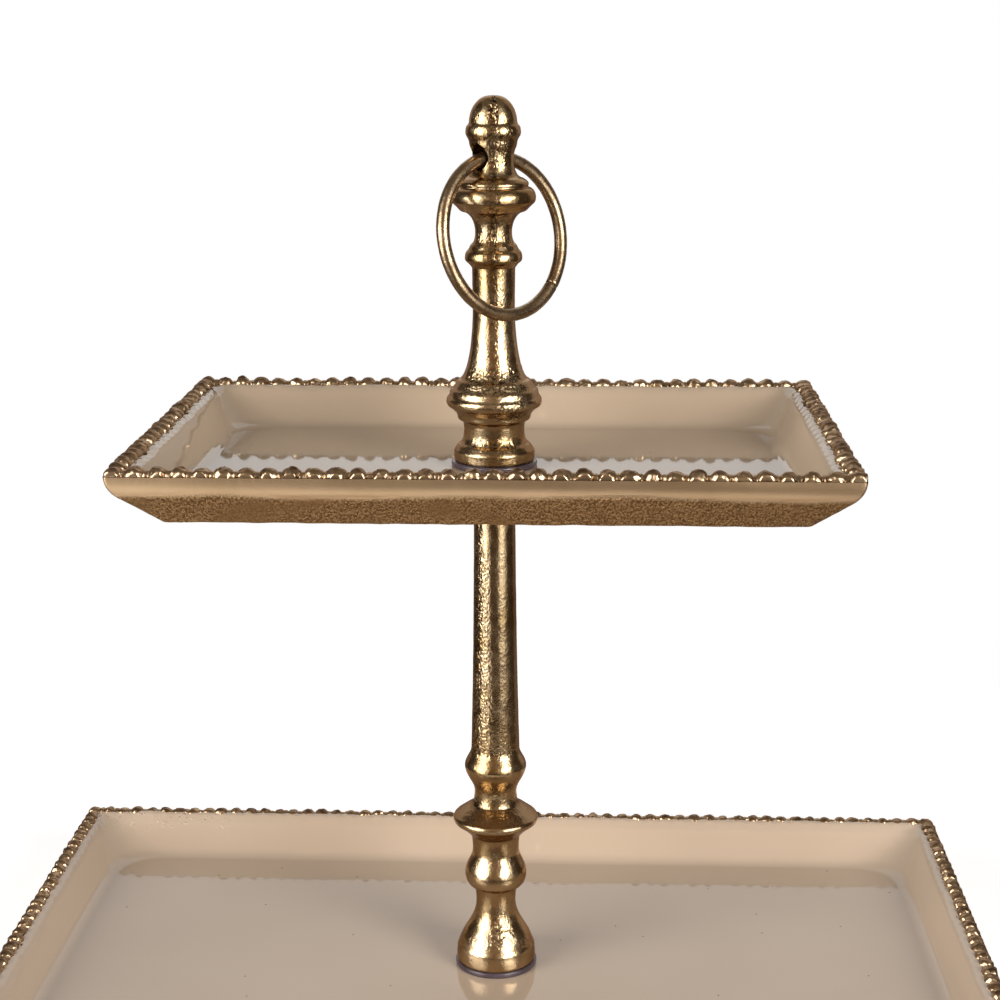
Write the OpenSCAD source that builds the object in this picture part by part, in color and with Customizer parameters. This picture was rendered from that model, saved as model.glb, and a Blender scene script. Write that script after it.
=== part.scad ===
// Two-tier serving stand: two rectangular cast trays with beaded rims and enamelled insides
// on a turned cast stem, with a loose ring handle through the finial. Millimetres, +Z up.
// The origin is on the table, under the middle of the stem. X runs along the trays.

/* [Lower tray] */
// Length of the lower tray over its rim, along X
lower_len = 380; // [330:1:430]
// Width of the lower tray over its rim, along Y
lower_wid = 224; // [190:1:270]
// Spacing that the beads on the lower rim are set out to
lower_pitch = 6.4; // [5.6:0.1:7.4]
// Radius of a bead on the lower rim
lower_bead_r = 3.4; // [3.1:0.1:3.9]

/* [Upper tray] */
// Length of the upper tray over its rim, along X
upper_len = 252; // [210:1:300]
// Width of the upper tray over its rim, along Y
upper_wid = 174; // [150:1:210]
// Spacing that the beads on the upper rim are set out to
upper_pitch = 7.45; // [6.8:0.05:8.2]
// Radius of a bead on the upper rim
upper_bead_r = 3.9; // [3.6:0.1:4.4]

/* [Tray section] */
// Depth from the top of the rim down to the enamelled floor
dish_depth = 14.4; // [12:0.1:22]
// Thickness of the cast floor under the enamel
floor_t = 4.2; // [3:0.1:5.5]
// Thickness of the enamel
enamel_t = 0.7; // [0.4:0.1:1.2]
// Distance from the outer edge to the middle of the bead row
bead_inset = 3.1; // [2.6:0.1:3.6]
// Depth of the beads' centres below the top of the rim
bead_sink = 0.6; // [0.2:0.1:1.2]
// Width of bare rim between the beads and the enamel
rim_land = 0.1; // [0:0.1:2]
// Height of the filed band at the top of the outer wall
band_h = 7.7; // [6:0.1:10]
// Lean of the outer wall below the band, from vertical, in degrees
outer_lean = 47; // [35:0.5:55]
// Lean of the inner wall, from vertical, in degrees
inner_lean = 33; // [25:1:40]
// Radius where the inner wall runs into the floor
dish_fillet_r = 7; // [4:0.5:10]
// Radius of the bottom edge of the casting
bottom_edge_r = 1.5; // [0.8:0.1:2.4]

/* [Lower column] */
// Height of the lower column
lower_col_h = 193.7; // [165:0.1:240]
// Radius of the foot of the lower column
lower_foot_r = 15.4; // [14:0.1:18]
// Height of the bell-shaped foot up to its waist
lower_bell_h = 24.8; // [20:0.1:32]
// Radius of the waists of the lower column
lower_waist_r = 7.7; // [7:0.1:8.8]
// Radius of the low collar
low_collar_r = 12; // [11:0.1:13.5]
// Height of the low collar, from waist to waist
low_collar_h = 21.7; // [18:0.1:27]
// Radius of the sharp-edged knob
knob_r = 16.4; // [14.5:0.1:18]
// Height of the knob, from waist to waist
knob_h = 24; // [20:0.1:30]
// Radius of the collar where the shaft begins
shaft_collar_r = 11.9; // [11:0.1:13]
// Height of the collar where the shaft begins
shaft_collar_h = 17.8; // [14:0.1:22]
// Radius of the shaft at its lower end
shaft_low_r = 9.3; // [8.8:0.1:10.2]
// Radius of the shaft at its upper end
shaft_top_r = 7.8; // [7.2:0.1:8.6]

/* [Upper column] */
// Height of the upper column
upper_col_h = 71.7; // [64:0.1:90]
// Radius of the foot of the upper column
upper_foot_r = 15; // [14:0.1:17]
// Height of the foot up to its waist
upper_foot_h = 13.2; // [11:0.1:16]
// Radius of the waist above the foot
upper_waist_r = 11.2; // [10:0.1:12.5]
// Radius of the large ring moulding
torus_r = 17.7; // [16.5:0.1:20]
// Height of the large ring moulding
torus_h = 15.6; // [13:0.1:19]
// Height of the bell that narrows to the slim shaft
bell_h = 29.2; // [24:0.1:31]
// Radius of the slim shaft above the bell
slim_r = 7.7; // [7.2:0.1:8.2]

/* [Finial] */
// Radius of the bead that the finial stands on
seat_bead_r = 10.5; // [9.8:0.1:12]
// Height of the bead that the finial stands on
seat_bead_h = 7.2; // [5.5:0.1:9]
// Radius of the waist below the flange
finial_waist_r = 6.7; // [6.2:0.1:8]
// Radius of the flange
flange_r = 15.4; // [14.5:0.1:17]
// Height from the bead up to the top of the flange's lip
flange_h = 23.7; // [20:0.1:28]
// Radius of the neck that the ring passes through
neck_r = 7.5; // [7.2:0.1:8.2]
// Height of the neck, from the flange's lip to the bead under the acorn
neck_h = 14; // [13:0.1:18]
// Radius of the bead under the acorn
crown_bead_r = 10; // [9.4:0.1:11.5]
// Height of the bead under the acorn
crown_bead_h = 6.5; // [5:0.1:8]
// Radius of the acorn
acorn_r = 8.7; // [8.2:0.1:9.2]
// Height of the acorn above its bead
acorn_h = 9.8; // [8:0.1:14]

/* [Ring handle] */
// Radius of the ring to the middle of its wire
ring_r = 28.4; // [27:0.1:31]
// Diameter of the ring's wire
wire_d = 4.8; // [4:0.1:5]
// Turn of the ring and of its hole about the stem, from the X axis, in degrees
ring_turn = 45; // [0:1:60]
// Clearance between the wire and the hole where the ring curves out of it
ring_hole_gap = 0.6; // [0.4:0.05:0.8]
// Gap between the resting ring and the shaft
ring_rest_gap = 0.3; // [0.2:0.05:0.6]
// Width of the cut between the ring's two ends
ring_joint_gap = 0.25; // [0.1:0.05:0.6]

/* [Fixings] */
// Diameter of the studs and of the bolt
stud_d = 6; // [5:0.5:6]
// Depth that a stud or the bolt is screwed into a casting
thread_depth = 12; // [10:0.5:14]
// Clearance around a stud or the bolt in its tapped hole
thread_clear = 0.1; // [0.05:0.01:0.2]
// Clearance around a stud or the bolt in a tray or a washer
through_clear = 0.3; // [0.2:0.05:0.6]
// Radius of the soft washer under each column
seat_washer_r = 16; // [15:0.1:18]
// Thickness of the soft washer under each column
seat_washer_t = 2; // [1:0.1:3]
// Radius of the steel washers against the underside of the trays
steel_washer_r = 10; // [8:0.1:12]
// Thickness of the steel washers
steel_washer_t = 1.4; // [1:0.1:1.8]
// Thickness of the split lock washer
lock_washer_t = 1.5; // [1:0.1:1.6]
// Radius of the bolt's head
bolt_head_r = 5.2; // [5:0.1:6.5]
// Height of the bolt's head
bolt_head_h = 3.3; // [2.5:0.1:3.5]

/* [Feet] */
// Height of each rubber foot
foot_h = 7; // [7:0.1:12]
// Radius of each rubber foot where it meets the tray
foot_r = 8; // [6:0.1:11]
// Distance from the flat underside's edge to the middle of a foot
foot_inset = 16; // [12:0.5:30]

/* [Hidden] */
$fn = 96;

// Steps in each curved stretch of a turned outline
curve_steps = 7;
// Steps around each bead
bead_steps = 32;
// How far a cutting solid runs past the face that it cuts
cut_over = 1;

stud_r = stud_d / 2;
tapped_r = stud_r + thread_clear;
through_r = stud_r + through_clear;
hole_end_gap = 0.8;
tapped_depth = thread_depth + hole_end_gap;

// Heights of the stacked pieces, from the table up
tray_base_t = floor_t + enamel_t;
tray_h = tray_base_t + dish_depth;
lower_tray_z = foot_h;
lower_seat_z = lower_tray_z + tray_base_t;
lower_col_z = lower_seat_z + seat_washer_t;
under_washer_z = lower_col_z + lower_col_h;
upper_tray_z = under_washer_z + steel_washer_t;
upper_seat_z = upper_tray_z + tray_base_t;
upper_col_z = upper_seat_z + seat_washer_t;
finial_z = upper_col_z + upper_col_h;

// Tray walls: the radius of the filed band's curve and how far in the flat underside starts
band_curve_r = band_h / sin(outer_lean);
band_in = band_curve_r * (1 - cos(outer_lean));
underside_in = band_in + (tray_h - band_h) * tan(outer_lean);

// Radius of the bell at its lower end, where it meets the ring moulding
bell_low_r = torus_r - 1.9;

// Ring: its hole through the neck, and its lean where it rests against the slim shaft
wire_r = wire_d / 2;
neck_z = finial_z + seat_bead_h + flange_h;
ring_pivot_z = neck_z + 0.62 * neck_h;
neck_sag = ring_r - sqrt(ring_r * ring_r - neck_r * neck_r);
ring_hole_r = wire_r + neck_sag + ring_hole_gap;
bell_z = upper_col_z + upper_foot_h + torus_h;
ring_low_z = ring_pivot_z - 2 * ring_r - wire_r;
ring_lean = asin((bell_radius(ring_low_z - bell_z) + wire_r + ring_rest_gap) / (2 * ring_r));
ring_joint_angle = -44;
ring_joint_turn = 360 * ring_joint_gap / (2 * PI * ring_r);

// One stretch of a turned outline from point a to point b, each [radius, height], without a.
// A bulge is a convex quarter turn and a cove a hollow one. A wave runs upright at both ends,
// and a taper only at its upper end.
function turned(shape, a, b) =
    let (dr = b[0] - a[0], dh = b[1] - a[1], radius_first = (shape == "bulge") == (dr > 0))
    [for (i = [1:curve_steps])
        let (t = 90 * i / curve_steps)
        shape == "wave" ? [a[0] + dr * (1 - cos(2 * t)) / 2, a[1] + dh * i / curve_steps]
        : shape == "taper" ? [a[0] + dr * (1 - pow(1 - i / curve_steps, 2)),
                              a[1] + dh * i / curve_steps]
        : radius_first ? [a[0] + dr * sin(t), a[1] + dh * (1 - cos(t))]
        : [a[0] + dr * (1 - cos(t)), a[1] + dh * sin(t)]];

// A whole turned outline: each stop is [radius, height, shape of the stretch that leads to it]
function outline(stops) =
    [for (i = [0:len(stops) - 1])
        each (i == 0 || stops[i][2] == "line") ? [[stops[i][0], stops[i][1]]]
            : turned(stops[i][2], stops[i - 1], stops[i])];

// A solid turned about Z from its outline, which runs upwards
module lathe(stops)
{
    pts = outline(stops);
    rotate_extrude()
        polygon(concat([[0, pts[0][1]]], pts, [[0, pts[len(pts) - 1][1]]]));
}

// Tapped hole that opens at height z; up = 1 bores upwards and up = -1 bores downwards
module tapped_hole(z, up)
{
    translate([0, 0, up > 0 ? z - cut_over : z - tapped_depth])
        cylinder(r = tapped_r, h = tapped_depth + cut_over);
}

// Half of the outer section of a tray on one side of X = 0, as [x, height over its underside]
function outer_half(half) =
    concat(
        [[half - underside_in - bottom_edge_r, 0]],
        [for (i = [0:4])
            let (t = (90 - outer_lean) * i / 4,
                 run = bottom_edge_r * tan((90 - outer_lean) / 2))
            [half - underside_in - run + bottom_edge_r * sin(t), bottom_edge_r * (1 - cos(t))]],
        [for (i = [0:8])
            let (t = outer_lean * (1 - i / 8))
            [half - band_curve_r * (1 - cos(t)), tray_h - band_curve_r * sin(t)]]);

// Width of the rim between the outer edge and the face of the enamel
function rim_w(bead_r) = bead_inset + bead_r + rim_land + enamel_t / cos(inner_lean);

// Half of the section of the dish inside a tray, grown outwards and downwards by extra
function dish_half(half, bead_r, extra) =
    let (r = dish_fillet_r + extra,
         turn = 90 - inner_lean,
         floor_z = tray_base_t - extra,
         wall_top = half - rim_w(bead_r) + extra / cos(inner_lean),
         corner_x = wall_top - (tray_h - floor_z) * tan(inner_lean),
         centre_x = corner_x - r * tan(turn / 2))
    concat(
        [for (i = [0:6])
            let (t = turn * i / 6)
            [centre_x + r * sin(t), floor_z + r * (1 - cos(t))]],
        [[wall_top, tray_h],
         [wall_top + cut_over * tan(inner_lean), tray_h + cut_over]]);

function mirrored(pts) = [for (i = [len(pts) - 1:-1:0]) [-pts[i][0], pts[i][1]]];

// A section run along X and one run along Y, meeting in mitred corners
module mitred(section_x, section_y, len_x, len_y)
{
    intersection() {
        translate([0, len_y / 2 + cut_over, 0])
            rotate([90, 0, 0])
                linear_extrude(len_y + 2 * cut_over)
                    polygon(concat(section_x, mirrored(section_x)));
        translate([-len_x / 2 - cut_over, 0, 0])
            rotate([90, 0, 90])
                linear_extrude(len_x + 2 * cut_over)
                    polygon(concat(section_y, mirrored(section_y)));
    }
}

module dish(len_x, len_y, bead_r, extra)
{
    mitred(dish_half(len_x / 2, bead_r, extra), dish_half(len_y / 2, bead_r, extra),
           len_x, len_y);
}

// Beads along the four sides of a rim, cut off flush with the filed outer face
module bead_rim(len_x, len_y, pitch, bead_r)
{
    run_x = len_x - 2 * bead_inset;
    run_y = len_y - 2 * bead_inset;
    count_x = round(run_x / pitch);
    count_y = round(run_y / pitch);
    bead_z = tray_h - bead_sink;
    intersection() {
        union() {
            for (side = [-1, 1]) {
                for (i = [0:count_x])
                    translate([-run_x / 2 + i * run_x / count_x, side * run_y / 2, bead_z])
                        sphere(r = bead_r, $fn = bead_steps);
                for (i = [1:count_y - 1])
                    translate([side * run_x / 2, -run_y / 2 + i * run_y / count_y, bead_z])
                        sphere(r = bead_r, $fn = bead_steps);
            }
        }
        translate([-len_x / 2, -len_y / 2, tray_h - 2 * bead_r])
            cube([len_x, len_y, 4 * bead_r]);
    }
}

module stud_hole()
{
    translate([0, 0, -cut_over])
        cylinder(r = through_r, h = tray_base_t + 2 * cut_over);
}

module tray_casting(len_x, len_y, pitch, bead_r)
{
    difference() {
        union() {
            difference() {
                mitred(outer_half(len_x / 2), outer_half(len_y / 2), len_x, len_y);
                dish(len_x, len_y, bead_r, enamel_t);
            }
            bead_rim(len_x, len_y, pitch, bead_r);
        }
        stud_hole();
    }
}

module tray_enamel(len_x, len_y, bead_r)
{
    difference() {
        intersection() {
            dish(len_x, len_y, bead_r, enamel_t);
            translate([-len_x / 2, -len_y / 2, 0])
                cube([len_x, len_y, tray_h]);
        }
        dish(len_x, len_y, bead_r, 0);
        stud_hole();
    }
}

module flat_washer(outer_r, inner_r, t)
{
    difference() {
        cylinder(r = outer_r, h = t);
        translate([0, 0, -cut_over])
            cylinder(r = inner_r, h = t + 2 * cut_over);
    }
}

module rubber_foot(side_x, side_y)
{
    edge_r = 1;
    translate([side_x * (lower_len / 2 - underside_in - foot_inset),
               side_y * (lower_wid / 2 - underside_in - foot_inset), 0])
        lathe([[foot_r - 2 * edge_r, 0], [foot_r - edge_r, edge_r, "bulge"],
               [foot_r, foot_h, "line"]]);
}

// Radius of the upper column's bell at a height above the bell's lower end
function bell_radius(h) =
    h >= bell_h ? slim_r
        : h <= 0 ? torus_r
        : bell_low_r + (slim_r - bell_low_r) * sin(acos(1 - h / bell_h));

// The outlines of the stem's castings, upwards from the face that each stands on
lower_column_stops =
    let (waist_1 = lower_bell_h,
         waist_2 = waist_1 + low_collar_h,
         waist_3 = waist_2 + knob_h,
         shaft_z = waist_3 + shaft_collar_h,
         neck = lower_waist_r + 0.45)
    [[lower_foot_r - 0.5, 0],
     [lower_foot_r, 0.05 * lower_bell_h, "bulge"],
     [lower_foot_r, 0.12 * lower_bell_h, "line"],
     [lower_waist_r, waist_1, "wave"],
     [lower_waist_r + 1.7, waist_1 + 0.31 * low_collar_h, "cove"],
     [low_collar_r, waist_1 + 0.54 * low_collar_h, "bulge"],
     [lower_waist_r + 1.3, waist_2, "wave"],
     [lower_waist_r + 2.7, waist_2 + 0.335 * knob_h, "cove"],
     [knob_r - 3, waist_2 + 0.45 * knob_h, "line"],
     [knob_r, waist_2 + 0.53 * knob_h, "bulge"],
     [knob_r - 0.6, waist_2 + 0.585 * knob_h, "bulge"],
     [neck + 1.3, waist_2 + 0.78 * knob_h, "line"],
     [neck, waist_3, "cove"],
     [shaft_collar_r, waist_3 + 0.59 * shaft_collar_h, "wave"],
     [shaft_low_r, shaft_z, "wave"],
     [shaft_top_r, lower_col_h, "taper"]];

upper_column_stops =
    let (torus_z = upper_foot_h, bell_low = upper_foot_h + torus_h)
    [[upper_foot_r - 0.5, 0],
     [upper_foot_r, 0.08 * upper_foot_h, "bulge"],
     [upper_foot_r, 0.3 * upper_foot_h, "line"],
     [upper_foot_r - 0.4, 0.38 * upper_foot_h, "bulge"],
     [upper_waist_r, 0.82 * upper_foot_h, "cove"],
     [upper_waist_r, torus_z, "line"],
     [upper_waist_r + 2.1, torus_z + 0.13 * torus_h, "cove"],
     [upper_waist_r + 2.6, torus_z + 0.16 * torus_h, "line"],
     [upper_waist_r + 2.6, torus_z + 0.3 * torus_h, "line"],
     [torus_r - 1.7, torus_z + 0.45 * torus_h, "line"],
     [torus_r, torus_z + 0.6 * torus_h, "bulge"],
     [torus_r - 1.3, torus_z + 0.84 * torus_h, "bulge"],
     [bell_low_r, bell_low, "bulge"],
     [slim_r, bell_low + bell_h, "cove"],
     [slim_r + 0.2, upper_col_h, "line"]];

finial_stops =
    let (flange_z = seat_bead_h,
         lip_z = flange_z + flange_h,
         bead_z = lip_z + neck_h,
         acorn_z = bead_z + crown_bead_h)
    [[seat_bead_r - 2.5, 0],
     [seat_bead_r - 1.1, 0.24 * seat_bead_h, "line"],
     [seat_bead_r, 0.46 * seat_bead_h, "bulge"],
     [seat_bead_r - 1.1, 0.85 * seat_bead_h, "bulge"],
     [seat_bead_r - 1.7, flange_z, "line"],
     [seat_bead_r - 2.2, flange_z + 0.05 * flange_h, "line"],
     [finial_waist_r, flange_z + 0.24 * flange_h, "cove"],
     [flange_r - 3.6, flange_z + 0.55 * flange_h, "cove"],
     [flange_r - 2.2, flange_z + 0.61 * flange_h, "line"],
     [flange_r - 0.7, flange_z + 0.67 * flange_h, "line"],
     [flange_r, flange_z + 0.76 * flange_h, "bulge"],
     [flange_r - 2.8, flange_z + 0.91 * flange_h, "bulge"],
     [flange_r - 3.1, flange_z + 0.92 * flange_h, "line"],
     [flange_r - 2.6, flange_z + 0.96 * flange_h, "bulge"],
     [flange_r - 3, lip_z, "bulge"],
     [neck_r + 3.1, lip_z + 0.09 * neck_h, "line"],
     [neck_r, lip_z + 0.5 * neck_h, "cove"],
     [neck_r, lip_z + 0.68 * neck_h, "line"],
     [acorn_r, bead_z, "wave"],
     [crown_bead_r, bead_z + 0.5 * crown_bead_h, "wave"],
     [acorn_r + 0.1, bead_z + 0.97 * crown_bead_h, "bulge"],
     [acorn_r, acorn_z, "line"],
     [1.2, acorn_z + acorn_h, "bulge"]];

module finial()
{
    color("darkgoldenrod")
        difference() {
            translate([0, 0, finial_z])
                lathe(finial_stops);
            tapped_hole(finial_z, 1);
            translate([0, 0, ring_pivot_z])
                rotate([0, 90, ring_turn])
                    cylinder(r = ring_hole_r, h = 4 * crown_bead_r, center = true);
        }
}

module ring_handle()
{
    color("goldenrod")
        translate([0, 0, ring_pivot_z])
            rotate([0, 0, ring_turn])
                rotate([-ring_lean, 0, 0])
                    translate([0, 0, -ring_r])
                        rotate([90, 0, 0])
                            rotate([0, 0, ring_joint_angle + ring_joint_turn / 2])
                                rotate_extrude(angle = 360 - ring_joint_turn)
                                    translate([ring_r, 0])
                                        circle(r = wire_r);
}

module finial_stud()
{
    color("silver")
        translate([0, 0, finial_z - thread_depth])
            cylinder(r = stud_r, h = 2 * thread_depth);
}

module upper_column()
{
    color("darkgoldenrod")
        difference() {
            translate([0, 0, upper_col_z])
                lathe(upper_column_stops);
            tapped_hole(upper_col_z, 1);
            tapped_hole(finial_z, -1);
        }
}

module upper_seat_washer()
{
    color("thistle")
        translate([0, 0, upper_seat_z])
            flat_washer(seat_washer_r, through_r, seat_washer_t);
}

module upper_enamel()
{
    color("tan")
        translate([0, 0, upper_tray_z])
            tray_enamel(upper_len, upper_wid, upper_bead_r);
}

module upper_tray()
{
    color("peru")
        translate([0, 0, upper_tray_z])
            tray_casting(upper_len, upper_wid, upper_pitch, upper_bead_r);
}

module under_tray_washer()
{
    color("silver")
        translate([0, 0, under_washer_z])
            flat_washer(steel_washer_r, through_r, steel_washer_t);
}

module joining_stud()
{
    color("silver")
        translate([0, 0, under_washer_z - thread_depth])
            cylinder(r = stud_r, h = upper_col_z - under_washer_z + 2 * thread_depth);
}

module lower_column()
{
    color("darkgoldenrod")
        difference() {
            translate([0, 0, lower_col_z])
                lathe(lower_column_stops);
            tapped_hole(lower_col_z, 1);
            tapped_hole(under_washer_z, -1);
        }
}

module lower_seat_washer()
{
    color("thistle")
        translate([0, 0, lower_seat_z])
            flat_washer(seat_washer_r, through_r, seat_washer_t);
}

module lower_enamel()
{
    color("tan")
        translate([0, 0, lower_tray_z])
            tray_enamel(lower_len, lower_wid, lower_bead_r);
}

module lower_tray()
{
    color("peru")
        translate([0, 0, lower_tray_z])
            tray_casting(lower_len, lower_wid, lower_pitch, lower_bead_r);
}

module base_washer()
{
    color("silver")
        translate([0, 0, lower_tray_z - steel_washer_t])
            flat_washer(steel_washer_r, through_r, steel_washer_t);
}

// A spring washer: a ring of square section, cut through at one place
module lock_washer()
{
    ring_w = 2;
    cut_turn = 12;
    color("silver")
        translate([0, 0, lower_tray_z - steel_washer_t - lock_washer_t])
            rotate_extrude(angle = 360 - cut_turn)
                translate([through_r, 0])
                    square([ring_w, lock_washer_t]);
}

module base_bolt()
{
    head_z = lower_tray_z - steel_washer_t - lock_washer_t - bolt_head_h;
    edge_r = 1;
    key_w = 4;
    color("silver")
        difference() {
            union() {
                translate([0, 0, head_z])
                    lathe([[bolt_head_r - edge_r, 0], [bolt_head_r, edge_r, "bulge"],
                           [bolt_head_r, bolt_head_h, "line"]]);
                translate([0, 0, head_z + bolt_head_h - cut_over])
                    cylinder(r = stud_r,
                             h = lower_col_z + thread_depth - head_z - bolt_head_h + cut_over);
            }
            translate([0, 0, head_z - cut_over])
                cylinder(r = key_w / 2 / cos(30), h = 0.6 * bolt_head_h + cut_over, $fn = 6);
        }
}

module foot_front_left()
{
    color("dimgray") rubber_foot(-1, -1);
}

module foot_front_right()
{
    color("dimgray") rubber_foot(1, -1);
}

module foot_back_left()
{
    color("dimgray") rubber_foot(-1, 1);
}

module foot_back_right()
{
    color("dimgray") rubber_foot(1, 1);
}

finial();
ring_handle();
finial_stud();
upper_column();
upper_seat_washer();
upper_enamel();
upper_tray();
under_tray_washer();
joining_stud();
lower_column();
lower_seat_washer();
lower_enamel();
lower_tray();
base_washer();
lock_washer();
base_bolt();
foot_front_left();
foot_front_right();
foot_back_left();
foot_back_right();
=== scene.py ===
import itertools
import math

import bpy
import numpy as np
from mathutils import Matrix, Vector


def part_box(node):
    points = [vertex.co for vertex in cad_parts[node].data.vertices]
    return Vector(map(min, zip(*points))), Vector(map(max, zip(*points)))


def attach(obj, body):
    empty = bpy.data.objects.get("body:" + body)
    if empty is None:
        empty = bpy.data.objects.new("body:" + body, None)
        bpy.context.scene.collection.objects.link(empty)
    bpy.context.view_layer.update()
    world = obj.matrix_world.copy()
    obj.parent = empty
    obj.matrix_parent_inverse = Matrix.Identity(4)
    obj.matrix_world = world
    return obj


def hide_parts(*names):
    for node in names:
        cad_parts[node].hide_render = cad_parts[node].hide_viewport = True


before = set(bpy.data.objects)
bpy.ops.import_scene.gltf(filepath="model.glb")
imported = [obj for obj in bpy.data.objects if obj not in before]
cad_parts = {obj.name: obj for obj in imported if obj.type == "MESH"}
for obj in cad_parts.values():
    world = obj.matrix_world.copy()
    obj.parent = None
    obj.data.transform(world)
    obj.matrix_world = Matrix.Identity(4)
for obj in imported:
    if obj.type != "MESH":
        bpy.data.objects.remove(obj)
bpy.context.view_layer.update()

# Shapes are worked out in millimetres, as in the construction, and meshes are made in metres
MM = 0.001

# Length, width, pitch of the beads and radius of a bead
UPPER_TRAY = (252, 174, 7.45, 3.9)
LOWER_TRAY = (380, 224, 6.4, 3.4)

# Sizes that both trays share
DISH_DEPTH = 14.4
TRAY_BASE_T = 4.9
TRAY_H = TRAY_BASE_T + DISH_DEPTH
ENAMEL_T = 0.7
BEAD_INSET = 3.1
BEAD_SINK = 0.6
RIM_LAND = 0.1
BAND_H = 7.7
OUTER_LEAN = math.radians(47)
INNER_LEAN = math.radians(33)
DISH_FILLET_R = 7.0
BOTTOM_EDGE_R = 1.5
THROUGH_R = 3.3
TAPPED_R = 3.1
TAPPED_DEPTH = 12.8
BAND_CURVE_R = BAND_H / math.sin(OUTER_LEAN)
BAND_IN = BAND_CURVE_R * (1 - math.cos(OUTER_LEAN))
UNDERSIDE_IN = BAND_IN + (TRAY_H - BAND_H) * math.tan(OUTER_LEAN)

# The ring: its turn about the stem and its lean are those of its resting place, and RING_JOINT is
# where along the wire its two ends meet
RING_R = 28.4
WIRE_R = 2.4
RING_TURN = math.radians(45)
RING_LEAN = math.radians(10.723)
RING_PIVOT_Z = 327.18
RING_HOLE_R = 4.008
RING_JOINT = math.radians(-44)
RING_JOINT_GAP = 0.25

# The photo's camera: angles in radians, place in mm and focal length as a share of the picture's width
CAM_YAW = 0.04404
CAM_PITCH = 0.2406
CAM_ROLL = -0.003
CAM_POS = (33.4, -711.5, 375.0)
CAM_FOCAL = 1958.2 / 1000


def low_z(node):
    """Height of a CAD node's lowest point, in mm"""
    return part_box(node)[0].z / MM


def noise(points, size, seed):
    """Smooth random values from -1 to 1 at points in mm, with features about one size across"""
    p = points / size + 17.31 * seed
    cell = np.floor(p).astype(np.int64)
    f = p - cell
    f = f * f * (3 - 2 * f)
    total = np.zeros(len(points))
    for corner in itertools.product((0, 1), repeat=3):
        c = cell + np.array(corner)
        h = (c[:, 0] * 73856093) ^ (c[:, 1] * 19349663) ^ (c[:, 2] * 83492791) ^ (seed * 2971215)
        h = (h * 2654435761) & 0xFFFFFFFF
        h = ((h ^ (h >> 13)) * 1274126177) & 0xFFFFFFFF
        value = (h ^ (h >> 16)) / 0x7FFFFFFF - 1
        weight = np.prod(np.where(corner, f, 1 - f), axis=1)
        total += value * weight
    return total


def crumple(points, size, seed):
    """Sharp creases like those of a rough sand casting, from 0 in a crease to about 1"""
    warp = np.stack([noise(points, 1.7 * size, seed + k) for k in (1, 2, 3)], axis=1)
    q = points + 0.6 * size * warp
    return 1.3 * np.abs(noise(q, size, seed + 4)) + 0.5 * np.abs(noise(q, size / 2.1, seed + 5))


def mesh_piece(name, points, faces):
    """A mesh object from points in mm"""
    mesh = bpy.data.meshes.new(name)
    mesh.from_pydata((np.asarray(points) * MM).tolist(), [], [list(f) for f in faces])
    mesh.validate()
    mesh.shade_smooth()
    piece = bpy.data.objects.new(name, mesh)
    bpy.context.scene.collection.objects.link(piece)
    return piece


def ring_faces(rings, around, close_rings=False):
    """Quads that join each ring of points to the next one"""
    count = rings if close_rings else rings - 1
    i = np.arange(count)[:, None] * around
    j = np.arange(around)[None, :]
    k = (j + 1) % around
    up = ((np.arange(count) + 1) % rings)[:, None] * around
    quads = np.stack([i + j, i + k, up + k, up + j], axis=2).reshape(-1, 4)
    return quads.tolist()


def grid_normals(grid):
    """Outward normals of a grid of rings, rings x around x 3"""
    along = np.gradient(grid, axis=0)
    around = np.roll(grid, -1, axis=1) - np.roll(grid, 1, axis=1)
    n = np.cross(around, along)
    return n / np.maximum(np.linalg.norm(n, axis=2, keepdims=True), 1e-9)


def boolean(piece, tool, how):
    """Joins piece with tool, or cuts tool out of it, and deletes tool"""
    mod = piece.modifiers.new(how, "BOOLEAN")
    mod.operation = how
    mod.solver = "MANIFOLD"
    mod.object = tool
    bpy.context.view_layer.update()
    made = bpy.data.meshes.new_from_object(piece.evaluated_get(bpy.context.evaluated_depsgraph_get()))
    piece.modifiers.remove(mod)
    old = piece.data
    piece.data = made
    made.name = piece.name
    bpy.data.meshes.remove(old)
    bpy.data.objects.remove(tool)
    return piece


def soften(piece, angle=35):
    """Smooth shading, with edges sharper than angle kept crisp"""
    piece.data.shade_smooth()
    piece.data.set_sharp_from_angle(angle=math.radians(angle))


def points_of(piece):
    """A piece's points in mm"""
    co = np.zeros(len(piece.data.vertices) * 3)
    piece.data.vertices.foreach_get("co", co)
    return co.reshape(-1, 3) / MM


def paint(piece, name, values):
    """Stores a value for each point, which the piece's material reads"""
    attribute = piece.data.attributes.new(name, "FLOAT", "POINT")
    attribute.data.foreach_set("value", np.clip(values, 0, 1).astype(np.float32))


# Turned castings

def turned(shape, a, b, steps=24):
    """One stretch of a turned outline from a to b, each (radius, height), without a"""
    dr, dh = b[0] - a[0], b[1] - a[1]
    radius_first = (shape == "bulge") == (dr > 0)
    points = []
    for i in range(1, steps + 1):
        s = i / steps
        t = math.pi / 2 * s
        if shape == "wave":
            points.append((a[0] + dr * (1 - math.cos(2 * t)) / 2, a[1] + dh * s))
        elif shape == "taper":
            points.append((a[0] + dr * (1 - (1 - s) ** 2), a[1] + dh * s))
        elif radius_first:
            points.append((a[0] + dr * math.sin(t), a[1] + dh * (1 - math.cos(t))))
        else:
            points.append((a[0] + dr * (1 - math.cos(t)), a[1] + dh * math.sin(t)))
    return points


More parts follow.
